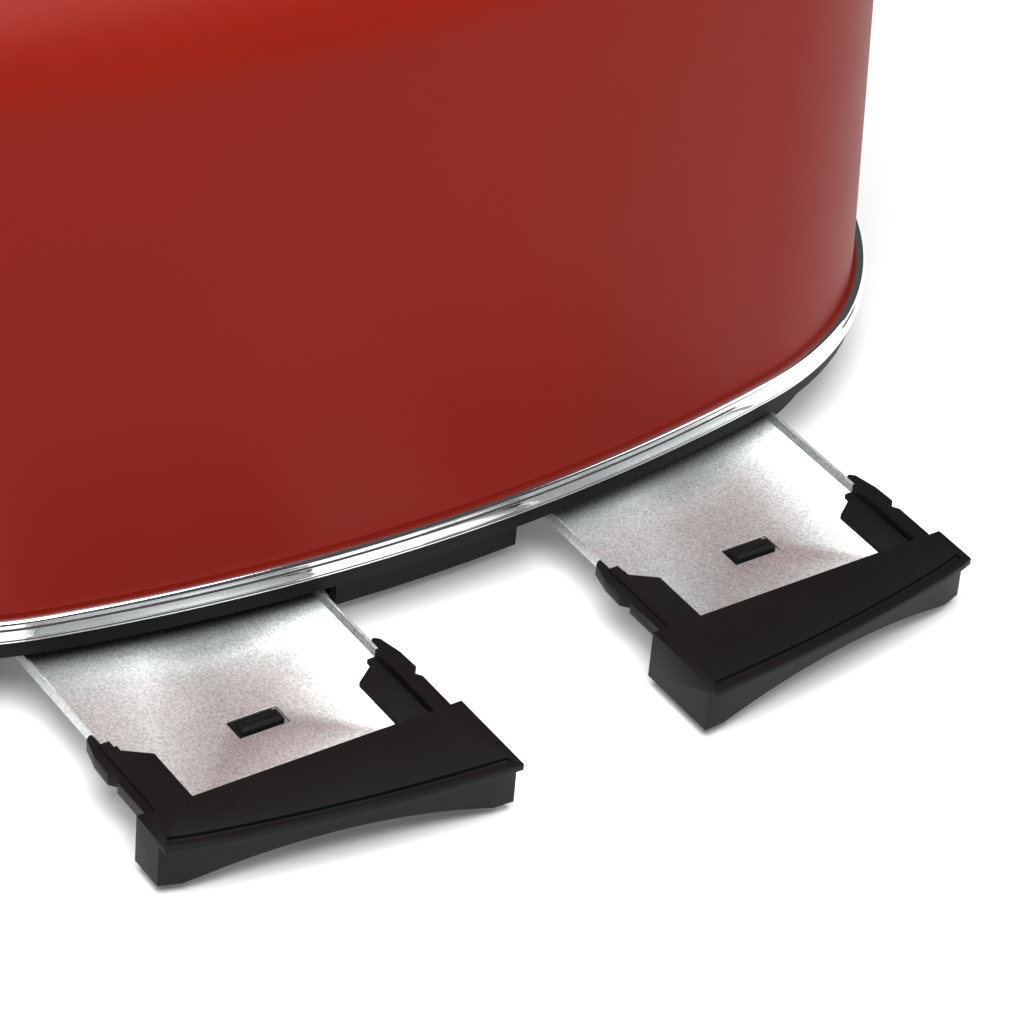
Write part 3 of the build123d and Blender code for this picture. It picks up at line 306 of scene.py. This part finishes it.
def red_paint():
    """Satin paint on pressed steel: faint orange peel and a slow drift in shade."""
    paint = Paint("red_paint", Coat_Weight=0.02, Coat_Roughness=0.3, Specular_IOR_Level=0.09)
    drift = paint.noise(9, 2)
    fleck = paint.noise(2600, 1)
    base = paint.blend(drift, (0.19, 0.0085, 0.0034), (0.22, 0.0098, 0.0040))
    speckled = paint.blend(paint.spread(fleck, 0.0, 0.2), base, (0.26, 0.013, 0.006))
    normal = paint.bump(paint.noise(420, 2), 0.06, 0.0006)
    rough = paint.spread(paint.noise(60, 3), 0.40, 0.48)
    return paint.feed(Base_Color=speckled, Roughness=rough, Normal=normal)


def chrome():
    """Mirror chrome with a breath of haze and fine handling marks."""
    paint = Paint("chrome", Metallic=1.0)
    haze = paint.noise(38, 4)
    marks = paint.noise(900, 2, vector=paint.stretched(1, 1, 12))
    base = paint.blend(haze, (0.86, 0.87, 0.88), (0.93, 0.93, 0.94))
    rough = paint.spread(haze, 0.02, 0.06) + paint.spread(marks, 0.0, 0.02)
    return paint.feed(Base_Color=base, Roughness=rough)


def black_plastic(name="black_plastic", shine=0.44):
    """Moulded plastic with a spark-eroded grain, polished on its high spots, and a few dust specks."""
    paint = Paint(name, Specular_IOR_Level=0.14)
    grain = paint.noise(2200, 2, 0.6)
    wear = paint.noise(45, 4)
    dust = 1 - paint.cells(260).above(0.035)
    clean = paint.blend(wear, (0.0040, 0.0038, 0.0038), (0.0065, 0.0061, 0.0061))
    base = paint.blend(dust * 0.5, clean, (0.10, 0.095, 0.09))
    normal = paint.bump(grain * 0.6 + paint.cells(1500) * 0.4, 0.35, 0.00012)
    rough = paint.spread(grain, shine, shine + 0.14) + paint.spread(wear, -0.03, 0.05)
    return paint.feed(Base_Color=base, Roughness=rough, Normal=normal)


def galvanised_steel():
    """Zinc coated sheet: fine crystals that each catch the light a little differently."""
    paint = Paint("galvanised_steel", Metallic=0.85)
    grey = paint.node("ShaderNodeRGBToBW", Color=paint.cells(2100, 1))
    fine = paint.noise(2600, 3, 0.65)
    broad = paint.noise(140, 3)
    tone = grey * 0.35 + fine * 0.5 + broad * 0.15
    dark, middle, bright = (0.34, 0.37, 0.365), (0.62, 0.65, 0.645), (0.88, 0.91, 0.905)
    base = paint.ramp(tone, (0.25, dark), (0.5, middle), (0.75, bright))
    normal = paint.bump(grey * 0.5 + fine * 0.5, 0.14, 0.00012)
    return paint.feed(Base_Color=base, Roughness=paint.spread(tone, 0.50, 0.40), Normal=normal)


def sheet_steel(name, base, rough_low, rough_high):
    """Rolled sheet or drawn wire, with its grain along Y and a heat tint in patches."""
    paint = Paint(name, Metallic=1.0)
    grain = paint.noise(500, 3, vector=paint.stretched(1, 0.05, 1))
    patch = paint.noise(30, 3)
    light = tuple(min(1.0, channel * 1.25) for channel in base)
    tinted = paint.blend(paint.spread(patch, 0.0, 0.5), paint.blend(grain, base, light), (0.36, 0.30, 0.22))
    normal = paint.bump(grain, 0.08, 0.0001)
    return paint.feed(Base_Color=tinted, Roughness=paint.spread(grain, rough_low, rough_high), Normal=normal)


def brushed_trim():
    """Stainless plate, brushed across."""
    paint = Paint("brushed_trim", Metallic=1.0, Anisotropic=0.5)
    lines = paint.noise(900, 3, vector=paint.stretched(0.02, 1, 1))
    base = paint.blend(lines, (0.50, 0.50, 0.51), (0.68, 0.68, 0.69))
    rough = paint.spread(lines, 0.24, 0.38)
    normal = paint.bump(lines, 0.06, 0.0001)
    return paint.feed(Base_Color=base, Roughness=rough, Normal=normal)


def rubber():
    paint = Paint("rubber", Specular_IOR_Level=0.3)
    grain = paint.noise(1300, 3)
    base = paint.blend(paint.noise(60, 3), (0.02, 0.02, 0.02), (0.035, 0.034, 0.033))
    rough = paint.spread(grain, 0.7, 0.9)
    normal = paint.bump(grain, 0.3, 0.0002)
    return paint.feed(Base_Color=base, Roughness=rough, Normal=normal)


def mica():
    """Layered mica sheet, warm grey with glittering flakes."""
    paint = Paint("mica", Specular_IOR_Level=0.6)
    flake = paint.cells(260, 1)
    tone = paint.node("ShaderNodeRGBToBW", Color=flake)
    cloud = paint.noise(25, 4)
    base = paint.blend(tone * 0.5 + cloud * 0.5, (0.30, 0.245, 0.16), (0.52, 0.46, 0.34))
    rough = paint.spread(tone, 0.3, 0.6)
    normal = paint.bump(tone, 0.1, 0.0002)
    return paint.feed(Base_Color=base, Roughness=rough, Normal=normal)


def circuit_board():
    """Green solder resist with the faint relief of its tracks."""
    paint = Paint("circuit_board")
    tracks = paint.cells(260, 0, "DISTANCE_TO_EDGE").above(0.12)
    base = paint.blend(tracks, (0.03, 0.13, 0.05), (0.02, 0.075, 0.03))
    rough = paint.spread(tracks, 0.3, 0.4)
    normal = paint.bump(tracks, 0.2, 0.0001)
    return paint.feed(Base_Color=base, Roughness=rough, Normal=normal)


def plain_moulding(name, low, high, rough):
    """A plain moulded or wound piece inside the case."""
    paint = Paint(name)
    cloud = paint.noise(80, 4)
    grain = paint.noise(900, 2)
    base = paint.blend(cloud, low, high)
    return paint.feed(Base_Color=base, Roughness=paint.spread(grain, rough, rough + 0.12),
                      Normal=paint.bump(grain, 0.15, 0.0001))


def copper_coil():
    """Enamelled winding: fine turns stacked up the core, with painted shade in the gaps between turns and a
    painted highlight on each turn's crown.
    """
    paint = Paint("copper_coil", Metallic=0.8)
    turns = paint.node("ShaderNodeTexWave", {"bands_direction": "Z"}, Vector=paint.place, Scale=900.0)
    # the turns bands paint shade into the gaps between turns and a highlight onto each crown; they also drive
    # the real roughness and relief
    base = paint.blend(turns, (0.30, 0.11, 0.04), (0.62, 0.28, 0.13))
    rough = paint.spread(turns, 0.3, 0.5)
    normal = paint.bump(turns, 0.5, 0.0002)
    return paint.feed(Base_Color=base, Roughness=rough, Normal=normal)


MATERIALS = {
    "red_paint": red_paint(),
    "chrome": chrome(),
    "black_plastic": black_plastic(),
    "black_gloss": black_plastic("black_gloss", 0.22),
    "galvanised_steel": galvanised_steel(),
    "chassis_steel": sheet_steel("chassis_steel", (0.45, 0.45, 0.44), 0.3, 0.5),
    "zinc_steel": sheet_steel("zinc_steel", (0.55, 0.55, 0.52), 0.3, 0.45),
    "heating_ribbon": sheet_steel("heating_ribbon", (0.26, 0.24, 0.22), 0.35, 0.55),
    "brushed_trim": brushed_trim(),
    "rubber": rubber(),
    "mica": mica(),
    "circuit_board": circuit_board(),
    "white_nylon": plain_moulding("white_nylon", (0.62, 0.6, 0.55), (0.75, 0.73, 0.69), 0.4),
    "copper_coil": copper_coil(),
}


def dress(obj, slot):
    obj.data.materials.clear()
    obj.data.materials.append(MATERIALS[slot])
    return obj


SLOT_OF = {part["node"]: part["material_slot"] for part in frame["record"]["subparts"]}
BODY_OF = {node: body for body, nodes in frame["record"]["behaviour"]["bodies"].items() for node in nodes}
for node, obj in frame["nodes"].items():
    dress(obj, SLOT_OF[node])


def stand_for(obj, node):
    """obj takes the place of one CAD node, with its body and its finish."""
    dress(obj, SLOT_OF[node])
    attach(obj, BODY_OF[node])
    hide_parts(node)
    return obj


# --- pieces that follow the oval ---
def sweep_tree():
    """A section carried along a path, kept upright, with smooth faces."""
    tree = Tree("follow the outline", {"Section": "Object", "Finish": "Material"})
    path = tree.node("GeometryNodeSetCurveNormal", {"mode": "Z_UP"}, Curve=tree.input("Geometry"))
    section = tree.group.nodes.new("GeometryNodeObjectInfo")
    tree.group.links.new(tree.input("Section"), section.inputs["Object"])
    swept = tree.node("GeometryNodeCurveToMesh", Curve=path, Profile_Curve=section.outputs["Geometry"])
    smooth = tree.node("GeometryNodeSetShadeSmooth", Geometry=swept)
    tree.finish(smooth, tree.input("Finish"))
    return tree


SWEEP = sweep_tree()


def swept(name, section, slot, closed=True):
    """section's (outwards, up) points carried round the ring's edge line, negative towards the middle."""
    path = polyline(name, [(*outline_point(turned), 0.0) for turned in outline_headings()])
    profile = polyline(name + " section", [(-outward, -height, 0.0) for outward, height in section], closed)
    made = SWEEP.modify(path, Section=profile, Finish=MATERIALS[slot])
    bpy.data.objects.remove(profile)
    return made


def arc(centre, radius, start, stop, steps):
    """Points on an arc, angles in degrees from outwards towards up."""
    turns = [radians(start + (stop - start) * step / steps) for step in range(steps + 1)]
    return [(centre[0] + radius * cos(turn), centre[1] + radius * sin(turn)) for turn in turns]


def chrome_ring():
    """Base ring, from its foot up: a narrow lip, a gently bulged band, a fine groove and a round top edge."""
    z = RING_FOOT
    section = [(-RING_WIDTH - 0.4 * MM, z)]
    section += arc((-0.55 * MM, z + 0.45 * MM), 0.45 * MM, -90, 40, 8)
    section += arc((-9.3 * MM, z + 2.2 * MM), 9.0 * MM, -7, 9, 8)
    section += [(-0.75 * MM, z + 3.75 * MM), (-0.8 * MM, z + 4.1 * MM)]
    section += arc((-1.75 * MM, z + 4.55 * MM), 1.2 * MM, -15, 68, 10)
    section += [(-RING_WIDTH - 0.4 * MM, RING_TOP)]
    return swept("chrome_ring", section, "chrome")


def wall_outward(z):
    return -RING_WIDTH - (z - RING_TOP) * tan(LEAN)


def shell_section():
    """Outer face of the shell from its foot to the flat top: a leaning wall and a round shoulder."""
    centre_z = SHELL_TOP - SHOULDER_RADIUS
    centre = (wall_outward(centre_z) - SHOULDER_RADIUS / cos(LEAN), centre_z)
    shoulder = arc(centre, SHOULDER_RADIUS, degrees(LEAN), 90, 28)
    foot_z = RING_FOOT + 0.2 * MM
    wall_steps = 10
    rise = (shoulder[0][1] - foot_z) / wall_steps
    wall = [(wall_outward(foot_z + rise * step), foot_z + rise * step) for step in range(wall_steps)]
    return wall + shoulder


def cutter(name, low, high):
    bm = bmesh.new()
    bmesh.ops.create_cube(bm, size=1.0)
    size = [b - a for a, b in zip(low, high)]
    middle = [(a + b) / 2 for a, b in zip(low, high)]
    bmesh.ops.transform(bm, matrix=Matrix.Translation(middle) @ Matrix.Diagonal((*size, 1)), verts=bm.verts)
    return mesh_object(name, bm)


def cut(obj, tools):
    for tool in tools:
        modifier = obj.modifiers.new("cut", "BOOLEAN")
        modifier.operation = "DIFFERENCE"
        modifier.solver = "EXACT"
        modifier.object = tool
    made = applied(obj)
    for tool in tools:
        bpy.data.objects.remove(tool)
    return made


SURROUND_RIM = 4.8 * MM
TOP_CUT_DEPTH = 8 * MM
LEVER_HALF_WIDTH = 4.4 * MM
BEZEL_RIM = 4.2 * MM
LEVER_CUT_REACH = 20 * MM


def shell_cutters():
    """Blocks that open the shell under the slot surrounds and behind the lever slots' bezels."""
    tools = []
    for side in SIDES:
        low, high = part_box("slot_surround_" + side)
        start = (low.x + SURROUND_RIM, low.y + SURROUND_RIM, SHELL_TOP - TOP_CUT_DEPTH)
        stop = (high.x - SURROUND_RIM, high.y - SURROUND_RIM, high.z)
        tools.append(cutter("top", start, stop))
        low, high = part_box("lever_slot_bezel_" + side)
        knob_low, knob_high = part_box("lever_knob_" + side)
        middle = (knob_low.x + knob_high.x) / 2
        start = (middle - LEVER_HALF_WIDTH, low.y - LEVER_CUT_REACH, low.z + BEZEL_RIM)
        stop = (middle + LEVER_HALF_WIDTH, high.y + LEVER_CUT_REACH, high.z - BEZEL_RIM)
        tools.append(cutter("lever", start, stop))
    return tools


def painted_shell():
    surface = swept("painted_shell", shell_section(), "red_paint", closed=False)
    bm = bmesh.new()
    bm.from_mesh(surface.data)
    bmesh.ops.remove_doubles(bm, verts=bm.verts, dist=1e-6)
    top = [edge for edge in bm.edges if edge.is_boundary and edge.verts[0].co.z > SHELL_TOP - 1 * MM]
    bmesh.ops.contextual_create(bm, geom=top)
    bmesh.ops.recalc_face_normals(bm, faces=bm.faces)
    if max(bm.faces, key=lambda face: face.calc_area()).normal.z < 0:
        bmesh.ops.reverse_faces(bm, faces=bm.faces)
    bm.to_mesh(surface.data)
    bm.free()
    reference = link(bpy.data.objects.new("smooth reference", surface.data.copy()))
    reference.data.shade_smooth()
    thick = surface.modifiers.new("wall", "SOLIDIFY")
    thick.thickness = SHELL_WALL
    thick.offset = -1
    shell = cut(surface, shell_cutters())
    shade(shell, 40)
    carry = shell.modifiers.new("normals", "DATA_TRANSFER")
    carry.object = reference
    carry.use_loop_data = True
    carry.data_types_loops = {"CUSTOM_NORMAL"}
    carry.loop_mapping = "POLYINTERP_NEAREST"
    carry.max_distance = 0.2 * MM
    carry.use_max_distance = True
    shell = applied(shell)
    bpy.data.objects.remove(reference)
    return shell


stand_for(chrome_ring(), "chrome_base_ring")
stand_for(painted_shell(), "outer_shell")


# --- CAD shapes finished: merged, smoothed, edges broken ---
MERGE_WITHIN = 2e-6
FLAT_WITHIN = radians(0.6)
SMOOTH_PAST_BEVEL = 10


def finished(node, angle=32, bevel=0.0, segments=2):
    obj = frame["nodes"][node]
    bm = bmesh.new()
    bm.from_mesh(obj.data)
    bmesh.ops.remove_doubles(bm, verts=bm.verts, dist=MERGE_WITHIN)
    bmesh.ops.dissolve_limit(bm, angle_limit=FLAT_WITHIN, verts=bm.verts, edges=bm.edges)
    made = mesh_object(node + "_finished", bm)
    shade(made, angle)
    if bevel:
        modifier = made.modifiers.new("edges", "BEVEL")
        modifier.width = bevel
        modifier.segments = segments
        modifier.limit_method = "ANGLE"
        modifier.angle_limit = radians(angle)
        modifier.harden_normals = False
        modifier.use_clamp_overlap = True
        made = applied(made)
        shade(made, angle + SMOOTH_PAST_BEVEL)
    return stand_for(made, node)


BEVEL_ANGLE = 35
PAIRED_BEVELS = {
    "crumb_tray_handle_": 0.22 * MM,
    "crumb_tray_sheet_": 0.12 * MM,
    "slot_surround_": 0.35 * MM,
    "lever_slot_bezel_": 0.25 * MM,
    "lever_knob_": 0.4 * MM,
    "browning_dial_": 0.3 * MM,
    "cancel_button_": 0.2 * MM,
    "reheat_button_": 0.2 * MM,
    "defrost_button_": 0.2 * MM,
}

finished("base_moulding")
finished("cable_gland", BEVEL_ANGLE, 0.3 * MM)
finished("control_panel", BEVEL_ANGLE, 0.2 * MM)
for side in SIDES:
    for piece, bevel in PAIRED_BEVELS.items():
        finished(piece + side, BEVEL_ANGLE, bevel)


# --- lift springs ---
def coil_tree():
    """Round wire wound into an open coil about +Z, then moved to its place."""
    inputs = {"Radius": "Float", "Wire": "Float", "Height": "Float", "Turns": "Float", "Place": "Vector"}
    tree = Tree("wound spring", {**inputs, "Finish": "Material"})
    radius = tree.input("Radius")
    spiral = tree.node("GeometryNodeCurveSpiral", Resolution=20, Rotations=tree.input("Turns"),
                       Start_Radius=radius, End_Radius=radius, Height=tree.input("Height"))
    wire = tree.node("GeometryNodeCurvePrimitiveCircle", Resolution=8, Radius=tree.input("Wire"))
    solid = tree.node("GeometryNodeCurveToMesh", Curve=spiral, Profile_Curve=wire, Fill_Caps=True)
    placed = tree.node("GeometryNodeTransform", Geometry=solid, Translation=tree.input("Place"))
    tree.finish(tree.node("GeometryNodeSetShadeSmooth", Geometry=placed), tree.input("Finish"))
    return tree


COIL = coil_tree()
WIRE = 0.5 * MM
COIL_PITCH = 2.3 * MM

for side in SIDES:
    node = "lift_spring_" + side
    low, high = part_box(node)
    height = high.z - low.z - 2 * WIRE
    radius = (high.x - low.x) / 2 - WIRE
    place = ((low.x + high.x) / 2, (low.y + high.y) / 2, low.z + WIRE)
    bm = bmesh.new()
    bm.verts.new((0, 0, 0))
    spring = COIL.modify(mesh_object("wound_" + node, bm), Radius=radius, Wire=WIRE, Height=height,
                         Turns=height / COIL_PITCH, Place=place, Finish=MATERIALS["chassis_steel"])
    dress(spring, SLOT_OF[node])
    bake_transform(spring)
    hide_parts(node)


# --- room ---
def floor():
    bm = bmesh.new()
    size = 6.0
    corners = [bm.verts.new((x * size, y * size, 0)) for x, y in ((-1, -1), (1, -1), (1, 1), (-1, 1))]
    bm.faces.new(corners)
    obj = mesh_object("floor", bm)
    paint = Paint("floor", Roughness=0.6, Specular_IOR_Level=0.1, Emission_Strength=0.08)
    paint.shader.inputs["Emission Color"].default_value = (1.0, 1.0, 1.0, 1.0)
    base = paint.blend(paint.noise(2, 2), (0.90, 0.90, 0.905), (0.93, 0.93, 0.93))
    obj.data.materials.append(paint.feed(Base_Color=base))


def area_light(name, place, target, size, watts, tint=(1, 1, 1)):
    light = bpy.data.lights.new(name, "AREA")
    light.shape = "RECTANGLE"
    light.size, light.size_y = size
    light.energy = watts
    light.color = tint
    obj = link(bpy.data.objects.new(name, light))
    obj.location = place
    obj.rotation_euler = (Vector(target) - Vector(place)).to_track_quat("-Z", "Y").to_euler()
    return obj


def studio():
    world = bpy.data.worlds.new("studio")
    bpy.context.scene.world = world
    world.use_nodes = True
    background = world.node_tree.nodes["Background"]
    background.inputs["Color"].default_value = (1.0, 1.0, 1.0, 1.0)
    background.inputs["Strength"].default_value = 0.08
    centre = (0, MIDDLE_Y, 0.1)
    area_light("overhead", (0.25, MIDDLE_Y + 0.45, 1.3), centre, (1.2, 1.2), 34)
    area_light("fill", (-1.3, MIDDLE_Y + 0.5, 0.7), centre, (0.9, 1.2), 7)


def camera():
    data = bpy.data.cameras.new("camera")
    data.sensor_width = 36.0
    data.lens = 159.75
    data.clip_start = 0.05
    obj = link(bpy.data.objects.new("camera", data))
    forward = Vector((-0.48256, -0.64667, -0.59072)).normalized()
    right = Vector((-0.83094, 0.55124, 0.07535))
    right = (right - forward * right.dot(forward)).normalized()
    up = right.cross(forward)
    turn = Matrix((right, up, -forward)).transposed()
    place = Vector((0.516, MIDDLE_Y + 0.8541, 0.6771))
    obj.matrix_world = Matrix.Translation(place) @ turn.to_4x4()
    bpy.context.scene.camera = obj


floor()
studio()
camera()
bpy.context.scene.view_settings.view_transform = "Standard"
